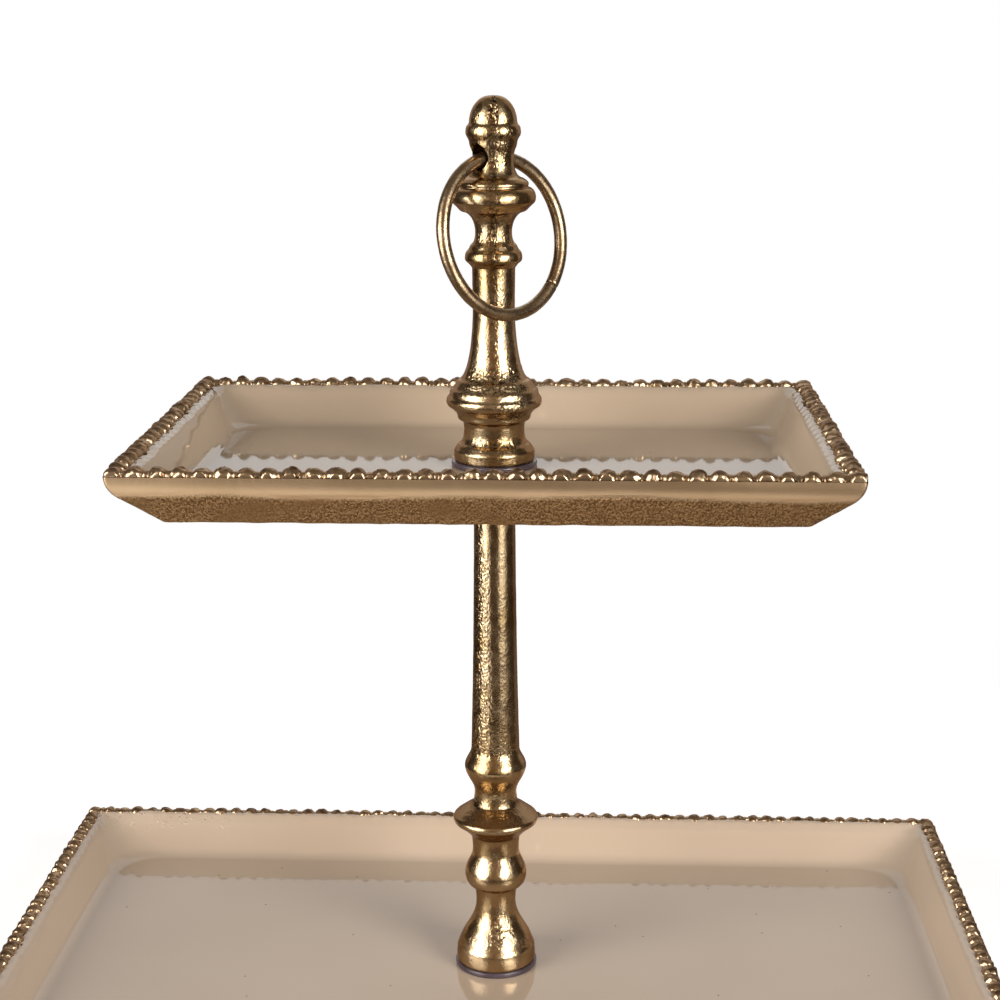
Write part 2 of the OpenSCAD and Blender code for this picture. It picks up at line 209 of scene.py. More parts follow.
def outline(stops, step, blur):
    """A turned outline as evenly spaced points, its corners softened over about blur mm"""
    points = [stops[0][:2]]
    for last, stop in zip(stops, stops[1:]):
        points += [stop[:2]] if stop[2] == "line" else turned(stop[2], last, stop)
    points = np.array(points)
    along = np.concatenate([[0], np.cumsum(np.linalg.norm(np.diff(points, axis=0), axis=1))])
    even = np.linspace(0, along[-1], int(along[-1] / step) + 1)
    made = np.stack([np.interp(even, along, points[:, k]) for k in (0, 1)], axis=1)
    reach = max(1, round(blur / step))
    kernel = np.ones(2 * reach + 1) / (2 * reach + 1)
    soft = np.stack([np.convolve(np.pad(made[:, k], reach, mode="edge"), kernel, "valid")
                     for k in (0, 1)], axis=1)
    edge = np.minimum(np.arange(len(made)), np.arange(len(made))[::-1])[:, None]
    share = np.clip(edge / (2 * reach), 0, 1)
    return made * (1 - share) + soft * share


# Points around a turned casting
AROUND = 256
# Size and depth of the creases where a casting is crumpled
CREASE = 0.85
CREASE_DEPTH = 0.19


def lathe(name, base_z, stops, rough, bores=(TAPPED_DEPTH, TAPPED_DEPTH), step=0.3):
    """A turned casting with its tapped holes. rough(azimuth, height) says how crumpled it is."""
    profile = outline(stops, step, 0.45)
    turn = np.linspace(0, 2 * math.pi, AROUND, endpoint=False)
    circle = np.stack([np.cos(turn), np.sin(turn), np.zeros(AROUND)], axis=1)
    grid = profile[:, 0, None, None] * circle + profile[:, 1, None, None] * np.array([0, 0, 1.0])
    normals = grid_normals(grid)
    flat = grid.reshape(-1, 3)
    azimuth = np.degrees(np.arctan2(flat[:, 0], -flat[:, 1]))
    place = flat + np.array([0, 0, base_z])
    much = rough(azimuth, flat[:, 2])
    ends = np.clip(np.minimum(flat[:, 2], profile[-1, 1] - flat[:, 2]) / 0.6, 0, 1)
    crease = crumple(place, CREASE, 3)
    depth = much * CREASE_DEPTH * (crease - 0.75)
    depth = depth + 0.05 * noise(place, 5.0, 11) + 0.015 * noise(place, 1.2, 12)
    flat = flat + normals.reshape(-1, 3) * (depth * ends)[:, None]
    points = [flat]
    faces = ring_faces(len(profile), AROUND)
    last = (len(profile) - 1) * AROUND
    start = len(flat)
    for top, bore in zip((False, True), bores):
        z = profile[-1, 1] if top else profile[0, 1]
        inner = [(TAPPED_R, z), (TAPPED_R, z + (-bore if top else bore))] if bore else []
        edge = last if top else 0
        for r, h in inner:
            points.append(r * circle + np.array([0, 0, h]))
            quads = [[edge + j, edge + (j + 1) % AROUND, start + (j + 1) % AROUND, start + j]
                     for j in range(AROUND)]
            faces += quads if top else [q[::-1] for q in quads]
            edge, start = start, start + AROUND
        cap = [edge + j for j in range(AROUND)]
        faces.append(cap if top else cap[::-1])
    points = np.concatenate(points) + np.array([0, 0, base_z])
    piece = mesh_piece(name, points, faces)
    return piece, profile + np.array([0, base_z])


def hollows(piece, profile, reach=7.0):
    """How deep each point lies in a hollow of the turned outline, from 0 to 1"""
    p = points_of(piece)
    z = np.linspace(profile[0, 1], profile[-1, 1], 900)
    order = np.argsort(profile[:, 1])
    r = np.interp(z, profile[order, 1], profile[order, 0])
    width = max(1, int(reach / (z[1] - z[0])))
    kernel = np.hanning(2 * width + 1)
    mean = np.convolve(np.pad(r, width, mode="edge"), kernel / kernel.sum(), "valid")
    return np.clip(np.interp(p[:, 2], z, mean - r) / 1.6, 0, 1)


def patch(azimuth, height, centre, half, low, high, fade_a=12, fade_h=4):
    """1 inside a patch of a turned casting, fading to 0 outside it"""
    off = np.abs((azimuth - centre + 180) % 360 - 180)
    side = np.clip((half - off) / fade_a + 0.5, 0, 1)
    level = np.clip(np.minimum(height - low, high - height) / fade_h + 0.5, 0, 1)
    return side * level


# Where each casting is crumpled: azimuth of the middle (0 is the front), half width,
# lowest and highest point over the casting's base, strength
ROUGH = {
    "finial": [(3, 13, 53, 63, 1.7), (3, 10, -5, 70, 0.9), (-15, 45, 47, 58, 0.5), (22, 30, 36, 50, 0.9),
               (-25, 30, 36, 46, 0.5), (0, 60, 7, 14, 0.7), (0, 50, 14, 22, 0.5), (180, 14, -5, 70, 0.8),
               (120, 40, 30, 55, 0.5), (-130, 40, 5, 30, 0.5)],
    "upper": [(4, 8, 20, 80, 0.5), (2, 58, 26, 36, 1.0), (28, 28, 16, 26, 1.0), (0, 50, 5, 9.5, 0.8),
              (5, 60, -5, 2.5, 0.7), (24, 9, 50, 80, 0.6), (180, 12, -5, 80, 0.8), (150, 60, 24, 40, 0.9),
              (-120, 50, 10, 24, 0.6), (12, 46, 18.5, 23.5, 0.45)],
    "lower": [(-52, 20, 87, 215, 1.0), (-34, 22, 87, 168, 0.9), (-22, 20, 87, 130, 0.7),
              (-6, 62, 86.5, 91, 0.9), (20, 14, 88, 100, 0.5), (14, 24, 11, 22, 0.9), (0, 60, 70, 78, 0.5),
              (0, 60, 40, 47, 0.3), (0, 60, 62, 74, 0.35), (150, 34, 84, 215, 1.0),
              (180, 60, -5, 80, 0.35), (0, 75, 9.6, 12.0, 0.8), (0, 60, 61, 66, 0.6)],
}
# How crumpled a turned casting is everywhere else
CASTING_GRAIN = 0.2


def rough_of(casting):
    """The function that says how crumpled a casting is at an azimuth and a height over its base"""
    def rough(azimuth, height):
        much = np.full(len(azimuth), CASTING_GRAIN)
        for centre, half, low, high, strength in ROUGH[casting]:
            fade = min(4, high - low)
            much = np.maximum(much, strength * patch(azimuth, height, centre, half, low, high, fade_h=fade))
        return much
    return rough


# Outlines of the turned castings: radius, height over the casting's base, and the shape that leads there
LOWER_STOPS = [
    (14.9, 0), (15.4, 1.24, "bulge"), (15.4, 2.2, "line"), (14.7, 7.0, "bulge"), (13.2, 10.9, "line"),
    (11.5, 13.9, "line"), (7.7, 24.8, "taper"),
    (9.4, 31.5, "cove"), (12, 36.5, "bulge"), (9, 46.5, "wave"),
    (9.9, 52.8, "cove"), (12.9, 55.9, "line"), (15.4, 57.8, "line"), (16.4, 59.4, "bulge"),
    (15.7, 60.8, "bulge"), (12.2, 63.4, "line"),
    (9.45, 65.2, "line"), (8.15, 70.5, "cove"), (11.9, 81.0, "wave"), (9.3, 88.3, "wave"),
    (7.8, 193.7, "taper")]
UPPER_STOPS = [
    (14.4, 0), (15, 1.6, "bulge"), (15, 2.6, "line"), (14.5, 4.7, "bulge"), (13.2, 6.5, "line"),
    (11.2, 11.4, "cove"), (11.2, 13.2, "line"), (13.3, 15.6, "cove"), (13.8, 17.9, "line"),
    (16, 20.2, "line"), (17.7, 22.4, "bulge"), (16.6, 24.4, "bulge"), (16.4, 25.6, "bulge"),
    (15.3, 27.3, "bulge"), (13.3, 30.4, "line"),
    (7.7, 58, "cove"), (7.9, 71.7, "line")]
FINIAL_STOPS = [
    (8, 0), (9.4, 1.73, "line"), (10.5, 3.31, "bulge"), (9.4, 6.12, "bulge"), (8.8, 7.2, "line"),
    (8.3, 8.39, "line"), (6.7, 12.9, "cove"), (11.8, 20.2, "cove"), (13.2, 21.7, "line"),
    (14.7, 23.1, "line"), (15.4, 25.2, "bulge"), (12.6, 28.8, "bulge"), (12.3, 29.0, "line"),
    (12.8, 30.0, "bulge"), (12.4, 30.9, "bulge"), (10.6, 32.2, "line"), (7.5, 37.9, "cove"),
    (7.5, 40.4, "line"), (8.7, 44.9, "wave"), (10, 48.15, "wave"), (8.8, 51.2, "bulge"),
    (8.7, 51.4, "line"), (1.2, 61.2, "bulge")]


def stem_casting(name, node, casting, stops, material, bores=(TAPPED_DEPTH, TAPPED_DEPTH)):
    """One casting of the stem, browned in its hollows and creases"""
    piece, profile = lathe(name, low_z(node), stops, rough_of(casting), bores)
    if casting == "finial":
        bore_ring_hole(piece)
    p = points_of(piece)
    azimuth = np.degrees(np.arctan2(p[:, 0], -p[:, 1]))
    much = rough_of(casting)(azimuth, p[:, 2] - low_z(node))
    creases = np.clip(1.1 - 1.5 * crumple(p, CREASE, 3), 0, 1) * much
    cavity = hollows(piece, profile)
    paint(piece, "patina", 0.45 * cavity + 0.9 * creases + 0.12 * noise(p, 6.0, 21))
    paint(piece, "crumpled", much)
    soften(piece, 50)
    dress(piece, material, node, "stand")
    return piece


def bore_ring_hole(finial):
    """Cuts the hole for the ring through the neck, with worn edges"""
    half = 11.0
    spread = [(-half, 6.2), (-7.6, 4.9), (-6.6, 4.25), (-5.6, RING_HOLE_R), (5.6, RING_HOLE_R),
              (6.6, 4.25), (7.6, 4.9), (half, 6.2)]
    turn = np.linspace(0, 2 * math.pi, 64, endpoint=False)
    points = np.array([[x, r * math.cos(t), r * math.sin(t)] for x, r in spread for t in turn])
    faces = ring_faces(len(spread), 64)
    faces += [list(range(64))[::-1], [len(points) - 64 + j for j in range(64)]]
    c, s = math.cos(RING_TURN), math.sin(RING_TURN)
    points = points @ np.array([[c, s, 0], [-s, c, 0], [0, 0, 1.0]]) + np.array([0, 0, RING_PIVOT_Z])
    boolean(finial, mesh_piece("ring_hole", points, faces), "DIFFERENCE")


def dress(piece, material, node, body):
    """Gives a finished piece its material and its body, and hides the CAD node that it stands in for"""
    piece.data.materials.clear()
    piece.data.materials.append(material)
    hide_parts(node)
    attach(piece, body)


# Trays

def rectangle(half_x, half_y, corner_r, per_side, per_corner=7):
    """Points around a rectangle with round corners, anticlockwise from the front left corner"""
    points = []
    for k, (sx, sy) in enumerate([(1, -1), (1, 1), (-1, 1), (-1, -1)]):
        centre = np.array([sx * (half_x - corner_r), sy * (half_y - corner_r)])
        angles = math.radians(90) * (k - 1 + np.arange(per_corner) / (per_corner - 1))
        arc = centre + corner_r * np.stack([np.cos(angles), np.sin(angles)], axis=1)
        if k:
            n = per_side[(k - 1) % 2]
            share = np.arange(1, n)[:, None] / n
            points += list(points[-1] * (1 - share) + arc[0] * share)
        points += list(arc)
    n = per_side[1]
    share = np.arange(1, n)[:, None] / n
    points += list(points[-1] * (1 - share) + points[0] * share)
    return np.array(points)


def loft(half_x, half_y, section, spacing):
    """Rings of points around rectangles. Each row of section is (inset, height, corner radius)."""
    per_side = (round(2 * half_y / spacing), round(2 * half_x / spacing))
    rings = []
    for inset, height, corner_r in section:
        flat = rectangle(half_x - inset, half_y - inset, corner_r, per_side)
        rings.append(np.column_stack([flat, np.full(len(flat), height)]))
    return np.array(rings)


def bead_places(half_x, half_y, pitch):
    """Centres of the beads in order around the rim"""
    run_x, run_y = 2 * (half_x - BEAD_INSET), 2 * (half_y - BEAD_INSET)
    nx, ny = round(run_x / pitch), round(run_y / pitch)
    front = [(-run_x / 2 + i * run_x / nx, -run_y / 2) for i in range(nx)]
    right = [(run_x / 2, -run_y / 2 + i * run_y / ny) for i in range(ny)]
    half = front + right
    return half + [(-x, -y) for x, y in half]


def ball(steps):
    """A sphere's points and quads, from a cube whose faces are steps x steps"""
    s = np.tan(np.linspace(-1, 1, steps + 1) * math.pi / 4)
    points, faces, index = [], [], {}

    def corner(p):
        key = tuple(np.round(p, 6))
        if key not in index:
            index[key] = len(points)
            points.append(p / np.linalg.norm(p))
        return index[key]

    for axis in range(3):
        for side in (-1, 1):
            for i, j in itertools.product(range(steps), repeat=2):
                quad = []
                for a, b in ((i, j), (i + 1, j), (i + 1, j + 1), (i, j + 1)):
                    p = np.zeros(3)
                    p[axis], p[(axis + 1) % 3], p[(axis + 2) % 3] = side, s[a], s[b]
                    quad.append(corner(p))
                faces.append(quad if side > 0 else quad[::-1])
    return np.array(points), np.array(faces)


def band_inset(depth):
    """How far the filed band lies in from the outer edge at a depth below the rim"""
    return BAND_CURVE_R - np.sqrt(BAND_CURVE_R ** 2 - np.clip(depth, 0, BAND_H) ** 2)


# Unevenness of the beads, as shares of a bead's radius
BEAD_LUMPS = 0.13
BEAD_PITS = 0.09
BEAD_ASTRAY = 0.05


def bead_chain(name, places, bead_r, half_x, half_y, rim_z, steps, seed):
    """Every bead in places as one mesh, each a little different and filed flush with the band"""
    random = np.random.default_rng(seed)
    unit, quads = ball(steps)
    points, faces = [], []
    for x, y in places:
        size = bead_r * (1 + random.uniform(-0.06, 0.03, 3))
        lump = 1 + BEAD_LUMPS * noise(unit * 1.3 + random.uniform(0, 50, 3), 1.0, 31)
        pits = BEAD_PITS * crumple(unit * 3.4 + random.uniform(0, 50, 3), 1.3, 35)
        bead = unit * size * (lump - pits)[:, None]
        astray = BEAD_ASTRAY * bead_r * random.uniform(-1, 1, 3)
        bead += np.array([x, y, rim_z - BEAD_SINK]) + astray
        depth = rim_z - bead[:, 2]
        inset = band_inset(depth) + 0.12 + 0.6 * np.clip(depth / 0.5, 0, 1)
        bead[:, 0] = np.clip(bead[:, 0], inset - half_x, half_x - inset)
        bead[:, 1] = np.clip(bead[:, 1], inset - half_y, half_y - inset)
        faces += (quads + len(points) * len(unit)).tolist()
        points.append(bead)
    return mesh_piece(name, np.concatenate(points), faces)


def outer_rows():
    """The outside of a tray from its flat underside up to the rim, as (inset, height, corner radius)"""
    rows = []
    run = BOTTOM_EDGE_R * math.tan((math.pi / 2 - OUTER_LEAN) / 2)
    for i in range(5):
        t = (math.pi / 2 - OUTER_LEAN) * i / 4
        inset = UNDERSIDE_IN + run - BOTTOM_EDGE_R * math.sin(t)
        rows.append((inset, BOTTOM_EDGE_R * (1 - math.cos(t)), 2.0))
    low = rows[-1]
    for i in range(1, 27):
        s = i / 26
        rows.append((low[0] + (BAND_IN - low[0]) * s, low[1] + (TRAY_H - BAND_H - low[1]) * s,
                     2.0 - 0.8 * s))
    for i in range(1, 14):
        t = OUTER_LEAN * (1 - i / 13)
        rows.append((BAND_CURVE_R * (1 - math.cos(t)), TRAY_H - BAND_CURVE_R * math.sin(t), 1.2))
    return rows


def dish_rows(bead_r, extra):
    """The dish from its floor up to the rim, grown outwards and downwards by extra"""
    r = DISH_FILLET_R + extra
    turn = math.pi / 2 - INNER_LEAN
    floor_z = TRAY_BASE_T - extra
    rim_w = BEAD_INSET + bead_r + RIM_LAND + ENAMEL_T / math.cos(INNER_LEAN)
    wall_top = rim_w - extra / math.cos(INNER_LEAN)
    corner = wall_top + (TRAY_H - floor_z) * math.tan(INNER_LEAN)
    centre = corner + r * math.tan(turn / 2)
    rows = []
    for i in range(11):
        t = turn * i / 10
        rows.append((centre - r * math.sin(t), floor_z + r * (1 - math.cos(t))))
    low = rows[-1]
    for i in range(1, 11):
        s = i / 10
        rows.append((low[0] + (wall_top - low[0]) * s, low[1] + (TRAY_H - low[1]) * s))
    return rows


def drill(piece, base_z):
    """Cuts the hole for the stud through a tray or its enamel"""
    turn = np.linspace(0, 2 * math.pi, 48, endpoint=False)
    ring = THROUGH_R * np.stack([np.cos(turn), np.sin(turn), 0 * turn], axis=1)
    points = np.concatenate([ring + [0, 0, base_z - 3], ring + [0, 0, base_z + TRAY_H]])
    faces = ring_faces(2, 48) + [list(range(48))[::-1], [48 + j for j in range(48)]]
    boolean(piece, mesh_piece("stud_hole", points, faces), "DIFFERENCE")


# Height over which the filed band turns into the cast wall
CREASE_FADE = 1.8
# Relief of the cast wall, of the filed band and of the rim between the beads
WALL_LUMPS = 0.14
WALL_PITS = 0.08
BAND_WAVES = 0.06
RIM_LUMPS = 0.12


def crease_height(points, seed):
    """Where the filed band gives way to the cast wall, as a height over the tray's base"""
    return TRAY_H - BAND_H + 0.7 + 1.5 * noise(points, 27.0, seed) + 0.5 * noise(points, 7.0, seed + 1)


def tray_casting(name, node, material, length, width, pitch, bead_r, web_share, spacing, seed):
    """A cast tray: rough wall, filed band, and a rim of beads that are one with the casting.
    web_share is the size of the small webs between the beads, as a share of a bead."""
    half_x, half_y = length / 2, width / 2
    base_z = low_z(node)
    outer = outer_rows()
    inner = [(inset, z, 2.5) for inset, z in dish_rows(bead_r, ENAMEL_T)][::-1]
    rim_in = inner[0][0]
    rim = [(rim_in * s, TRAY_H, 1.2 + s) for s in (0.06, 0.3, 0.6, 0.8)]
    section = outer + rim + inner
    grid = loft(half_x, half_y, section, spacing)
    normals = grid_normals(grid)
    rings, around = grid.shape[:2]
    flat = grid.reshape(-1, 3)
    level = np.repeat([row[1] for row in section], around)
    row = np.repeat(np.arange(rings), around)
    outside = row < len(outer)
    cast = np.clip((crease_height(flat, seed) - level) / CREASE_FADE + 0.5, 0, 1) * outside
    pitted = np.clip(0.5 + 1.1 * noise(flat, 24.0, seed + 6), 0.15, 1)
    lumps = WALL_LUMPS * noise(flat, 6.0, seed + 2)
    lumps += WALL_PITS * pitted * (crumple(flat, 2.4, seed + 3) - 0.8)
    depth = cast * lumps
    filed = outside * (1 - cast) * np.clip((TRAY_H - level) / 1.5, 0, 1)
    depth -= filed * BAND_WAVES * (1 + noise(flat, 14.0, seed + 8))
    depth += (~outside & (level > TRAY_H - 0.01)) * RIM_LUMPS * noise(flat, 2.0, seed + 9)
    flat = flat + normals.reshape(-1, 3) * depth[:, None]
    flat[:, 0] = np.clip(flat[:, 0], -half_x, half_x)
    flat[:, 1] = np.clip(flat[:, 1], -half_y, half_y)
    flat[:, 2] += base_z
    faces = ring_faces(rings, around)
    faces += [list(range(around))[::-1], [(rings - 1) * around + j for j in range(around)]]
    piece = mesh_piece(name, flat, faces)
    drill(piece, base_z)
    places = bead_places(half_x, half_y, pitch)
    webs = [((x + u) / 2, (y + v) / 2) for (x, y), (u, v) in zip(places, places[1:] + places[:1])]
    rim_z = base_z + TRAY_H
    chains = ((webs, web_share * bead_r, 7), (places[::2], bead_r, 11), (places[1::2], bead_r, 11))
    for k, (chain, r, steps) in enumerate(chains):
        beads = bead_chain("beads", chain, r, half_x, half_y, rim_z, steps, seed + 10 * k)
        boolean(piece, beads, "UNION")
    p = points_of(piece)
    height = p[:, 2] - base_z
    edge = np.maximum(np.abs(p[:, 0]) - half_x, np.abs(p[:, 1]) - half_y)
    place = p - np.array([0, 0, base_z])
    low_cast = np.clip((crease_height(place, seed) - height) / CREASE_FADE + 0.5, 0, 1)
    on_face = np.clip((edge + 0.12) / 0.1, 0, 1)
    between = np.clip((TRAY_H + 1.2 - height) / 1.4, 0, 1) * (height > TRAY_H - 0.5) * (edge < -0.15)
    paint(piece, "cast", low_cast)
    # Painted shade: the tops of the beads are made darker
    top = np.clip((height - TRAY_H - 0.35 * bead_r) / (0.5 * bead_r), 0, 1)
    # Painted shade: the band is made darker just under the beads, fading out over 3.2 mm downwards
    painted_shade_under_beads = np.clip(1 - (TRAY_H - height) / 3.2, 0, 1) * (height < TRAY_H + 0.01)
    painted_shade_under_beads *= 0.7 + 0.3 * noise(p, 9.0, seed)
    bead_tone = (height > TRAY_H) * 0.25 * noise(p, 3.0, seed + 4)
    # The tray's patina value holds real patina between the beads, random tone on the beads, and painted shade
    # on the bead tops and under the beads
    paint(piece, "patina", 0.8 * between + 0.65 * top + 0.6 * painted_shade_under_beads + bead_tone)
    paint(piece, "filed", (1 - low_cast) * np.maximum(on_face, height < TRAY_H - 0.3))
    soften(piece, 38)
    dress(piece, material, node, "stand")
    return piece


def bead_phase(flat, half_x, half_y, pitch):
    """1 in line with the middle of a bead and 0 in line with the gap between two beads"""
    run = 2 * (np.array([half_x, half_y]) - BEAD_INSET)
    step = run / np.round(run / pitch)
    across = np.abs(flat[:, 0]) - half_x > np.abs(flat[:, 1]) - half_y
    along = np.where(across, (flat[:, 1] + run[1] / 2) / step[1], (flat[:, 0] + run[0] / 2) / step[0])
    return 0.5 + 0.5 * np.cos(2 * math.pi * along)


# The enamel's floor is flat inside this inset from the foot of the wall
FLOOR_INSET = 20
# How much fuller the enamel is at the top of the wall
ENAMEL_FULLER = 0.6
# How far the lip rises and falls with the beads
LIP_WAVE = 0.35


def tray_enamel(name, node, casting_node, material, length, width, pitch, bead_r, lip, spill, spacing, seed):
    """The poured layer inside a tray, with soft corners. lip is how high it laps over the beads,
    and spill how lumpy it is where it ran over the rim at the back left."""
    half_x, half_y = length / 2, width / 2
    base_z = low_z(casting_node)
    face = dish_rows(bead_r, 0)
    back = dish_rows(bead_r, ENAMEL_T)
    section = [(back[0][0] + FLOOR_INSET, back[0][1], 14.0)]
    section += [(inset, z, 2.6) for inset, z in back[:-1]]
    rim_in = face[-1][0]
    reach = BEAD_INSET + bead_r
    section += [(rim_in - 1.2, TRAY_H - 1.0, 2.5), (reach - 1.6 - lip, TRAY_H - 0.5, 2.5)]
    section += [(reach - 1.2 - lip, TRAY_H + lip, 2.8), (reach - 0.5 - 0.4 * lip, TRAY_H + lip, 3.2)]
    section += [(reach + 0.15, TRAY_H + 0.6 * lip, 3.8), (reach + 0.7, TRAY_H + 0.1, 4.5)]
    for inset, z in face[-2::-1]:
        deep = (TRAY_H - z) / DISH_DEPTH
        fuller = ENAMEL_FULLER * (1 - deep)
        section.append((inset + fuller, z, 5.6 + 14.4 * deep ** 0.9))
    section += [(face[0][0] + FLOOR_INSET, face[0][1], 18.0)]
    grid = loft(half_x, half_y, section, spacing)
    rings, around = grid.shape[:2]
    flat = grid.reshape(-1, 3)
    near_top = np.clip((flat[:, 2] - (TRAY_H - 2.5)) / 2.5, 0, 1)
    on_lip = np.clip((flat[:, 2] - TRAY_H + 0.2) / max(lip, 0.2), 0, 1)
    phase = bead_phase(flat, half_x, half_y, pitch)
    sway = 0.08 * noise(flat, 4.0, seed) + 0.28 * noise(flat, 14.0, seed + 1)
    lumps = 0.05 * noise(flat, 2.0, seed + 2)
    spilt = np.clip((-0.6 * half_x - flat[:, 0]) / 15, 0, 1) * np.clip((flat[:, 1] - 0.78 * half_y) / 6, 0, 1)
    spilt *= spill * np.clip((flat[:, 2] - TRAY_H + 5) / 3, 0, 1)
    beside = np.clip(((np.abs(flat[:, 0]) - half_x) - (np.abs(flat[:, 1]) - half_y)) / 8 + 0.5, 0, 1)
    over = np.maximum(flat[:, 2] - TRAY_H, 0)
    flat[:, 2] -= over * beside * min(0.8, 0.5 * lip)
    flat[:, 2] += near_top * sway + on_lip * (lumps + LIP_WAVE * (phase - 0.5))
    flat[:, 2] += base_z
    faces = ring_faces(rings, around)
    faces += [list(range(around))[::-1], [(rings - 1) * around + j for j in range(around)]]
    piece = mesh_piece(name, flat, faces)
    paint(piece, "spilt", spilt)
    drill(piece, base_z)
    soften(piece, 60)
    dress(piece, material, node, "stand")
    return piece


# Ring and washers

def ring_wire(material):
    """The loose ring: a bent wire whose two ends meet in a butt joint"""
    gap = RING_JOINT_GAP / RING_R
    turn = RING_JOINT + gap / 2 + np.linspace(0, 2 * math.pi - gap, 420)
    around = 32
    across = np.linspace(0, 2 * math.pi, around, endpoint=False)
    reach = RING_R + 0.12 * np.sin(3 * turn) * np.clip(np.minimum(turn - turn[0], turn[-1] - turn), 0, 1)
    tube = []
    for t, r in zip(turn, reach):
        from_end = min(t - turn[0], turn[-1] - t) * RING_R
        wire = WIRE_R - 0.35 * max(0, 1 - from_end / 0.35) ** 2
        out = r + wire * np.cos(across)
        tube.append(np.stack([out * math.cos(t), out * math.sin(t), wire * np.sin(across)], axis=1))
    grid = np.array(tube)
    flat = grid.reshape(-1, 3)
    normals = (flat - np.repeat(grid.mean(axis=1), around, axis=0))
    normals /= np.linalg.norm(normals, axis=1, keepdims=True)
    flat = flat + normals * (0.035 * noise(flat, 2.5, 51) - 0.04 * crumple(flat, 1.4, 52))[:, None]
    faces = ring_faces(len(turn), around)
    faces += [list(range(around))[::-1], [(len(turn) - 1) * around + j for j in range(around)]]
    hang = (Matrix.Rotation(RING_TURN, 3, "Z") @ Matrix.Rotation(-RING_LEAN, 3, "X"))
    stand_up = Matrix.Rotation(math.pi / 2, 3, "X")
    local = flat @ np.array(stand_up).T + np.array([0, 0, -RING_R])
    place = local @ np.array(hang).T + np.array([0, 0, RING_PIVOT_Z])
    piece = mesh_piece("ring_bent_wire", place, faces)
    paint(piece, "patina", 0.4 + 0.5 * noise(flat, 4.0, 53))
    soften(piece, 45)
    dress(piece, material, "ring_handle", "ring")
    return piece


def soft_washer(name, node, material):
    """A translucent washer, squeezed a little under its column"""
    low, high = (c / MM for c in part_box(node))
    edge = 0.45
    section = [(THROUGH_R, low.z), (high.x - edge, low.z)]
    section += [(high.x - edge + edge * math.sin(t), low.z + (high.z - low.z) / 2 * (1 - math.cos(t)))
                for t in np.linspace(0, math.pi, 11)[1:-1]]
    section += [(high.x - edge, high.z), (THROUGH_R, high.z)]
    turn = np.linspace(0, 2 * math.pi, 128, endpoint=False)
    rings = [[(r * math.cos(t), r * math.sin(t), z) for t in turn] for r, z in section]
    flat = np.array(rings).reshape(-1, 3)
    wobble = 1 + 0.006 * noise(flat, 7.0, 61) * (np.hypot(flat[:, 0], flat[:, 1]) > 10)
    flat[:, :2] *= np.minimum(wobble, 1.0)[:, None]
    piece = mesh_piece(name, flat, ring_faces(len(section), 128, close_rings=True))
    soften(piece, 40)
    dress(piece, material, node, "stand")
    return piece


# Materials

class Shader:
    """Short calls for building a material's nodes"""

    def __init__(self, name):
        self.material = bpy.data.materials.new(name)
        self.material.use_nodes = True
        self.tree = self.material.node_tree
        self.bsdf = self.tree.nodes["Principled BSDF"]
        self.place = self.node("ShaderNodeTexCoord").outputs["Object"]

    def node(self, kind, **settings):
        made = self.tree.nodes.new(kind)
        for key, value in settings.items():
            setattr(made, key, value)
        return made

    def link(self, source, target):
        self.tree.links.new(source, target)

    def set(self, **values):
        for key, value in values.items():
            self.bsdf.inputs[key.replace("_", " ")].default_value = value

    def noise(self, scale, detail=3.0, rough=0.55, stretch=None):
        made = self.node("ShaderNodeTexNoise")
        made.inputs["Scale"].default_value = scale
        made.inputs["Detail"].default_value = detail
        made.inputs["Roughness"].default_value = rough
        source = self.place
        if stretch:
            mapping = self.node("ShaderNodeMapping")
            mapping.inputs["Scale"].default_value = stretch
            self.link(source, mapping.inputs["Vector"])
            source = mapping.outputs["Vector"]
        self.link(source, made.inputs["Vector"])
        return made.outputs["Fac"]

    def attribute(self, name):
        return self.node("ShaderNodeAttribute", attribute_name=name).outputs["Fac"]

    def math(self, how, a, b=0.0, clamp=False):
        made = self.node("ShaderNodeMath", operation=how, use_clamp=clamp)
        for slot, value in zip(made.inputs, (a, b)):
            if isinstance(value, (int, float)):
                slot.default_value = value
            else:
                self.link(value, slot)
        return made.outputs[0]

    def spread(self, value, low, high, to_low=0.0, to_high=1.0):
        made = self.node("ShaderNodeMapRange", interpolation_type="SMOOTHSTEP")
        self.link(value, made.inputs["Value"])
        for key, number in zip(("From Min", "From Max", "To Min", "To Max"), (low, high, to_low, to_high)):
            made.inputs[key].default_value = number
        return made.outputs["Result"]

    def mix(self, share, a, b):
        made = self.node("ShaderNodeMix", data_type="RGBA")
        for key, value in (("Factor", share), ("A", a), ("B", b)):
            slot = next(s for s in made.inputs if s.name == key and s.enabled)
            if isinstance(value, tuple):
                slot.default_value = (*value, 1.0)
            elif isinstance(value, (int, float)):
                slot.default_value = value
            else:
                self.link(value, slot)
        return next(s for s in made.outputs if s.enabled)

    def bump(self, height, distance, strength=1.0, base=None):
        made = self.node("ShaderNodeBump")
        made.inputs["Distance"].default_value = distance
        made.inputs["Strength"].default_value = strength
        self.link(height, made.inputs["Height"])
        if base is not None:
            self.link(base, made.inputs["Normal"])
        return made.outputs["Normal"]


GOLD = (0.49, 0.365, 0.22)
GOLD_DEEP = (0.34, 0.225, 0.105)
BROWN = (0.055, 0.032, 0.015)
# Metal seen at a glancing angle is duller and pinker
EDGE_TINT = (0.72, 0.60, 0.56, 1.0)


